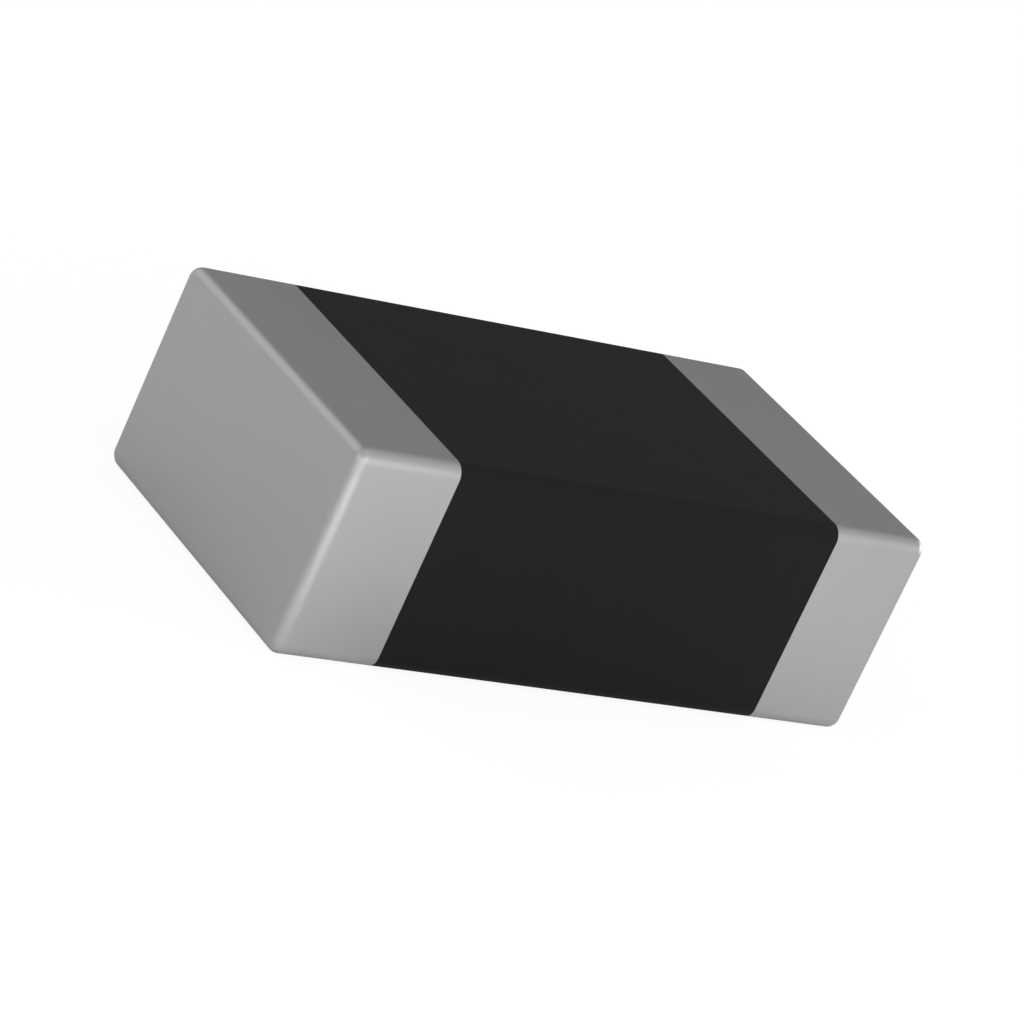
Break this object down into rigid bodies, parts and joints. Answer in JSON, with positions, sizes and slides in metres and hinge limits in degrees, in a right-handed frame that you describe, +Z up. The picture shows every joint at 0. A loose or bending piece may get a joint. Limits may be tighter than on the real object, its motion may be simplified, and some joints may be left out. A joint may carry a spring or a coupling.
{
  "type": "smd chip resistor",
  "caption": "Surface-mount chip resistor: a black glass-coated ceramic block with a plated metal cap wrapped round each end.",
  "frame": {"origin": "middle of the chip's footprint, on the plane of the board that it is soldered to", "axes": "+X along the chip from the left cap to the right cap, +Y across it to the back, +Z up from the board"},
  "size_m": [0.0032, 0.0018, 0.001],
  "materials": {
    "ceramic": "matte",
    "glass_coat": "satin",
    "electrode": "satin",
    "silver": "matte",
    "nickel": "satin",
    "tin": "matte"
  },
  "bodies": {
    "root": {"ceramic_block": "ceramic", "glass_coat": "glass_coat", "left_electrode_1": "electrode", "left_electrode_2": "electrode", "left_electrode_3": "electrode", "left_electrode_4": "electrode", "right_electrode_1": "electrode", "right_electrode_2": "electrode", "right_electrode_3": "electrode", "right_electrode_4": "electrode", "left_silver_base": "silver", "right_silver_base": "silver", "left_nickel_barrier": "nickel", "right_nickel_barrier": "nickel", "left_tin_plating": "tin", "right_tin_plating": "tin"}
  },
  "joints": []
}
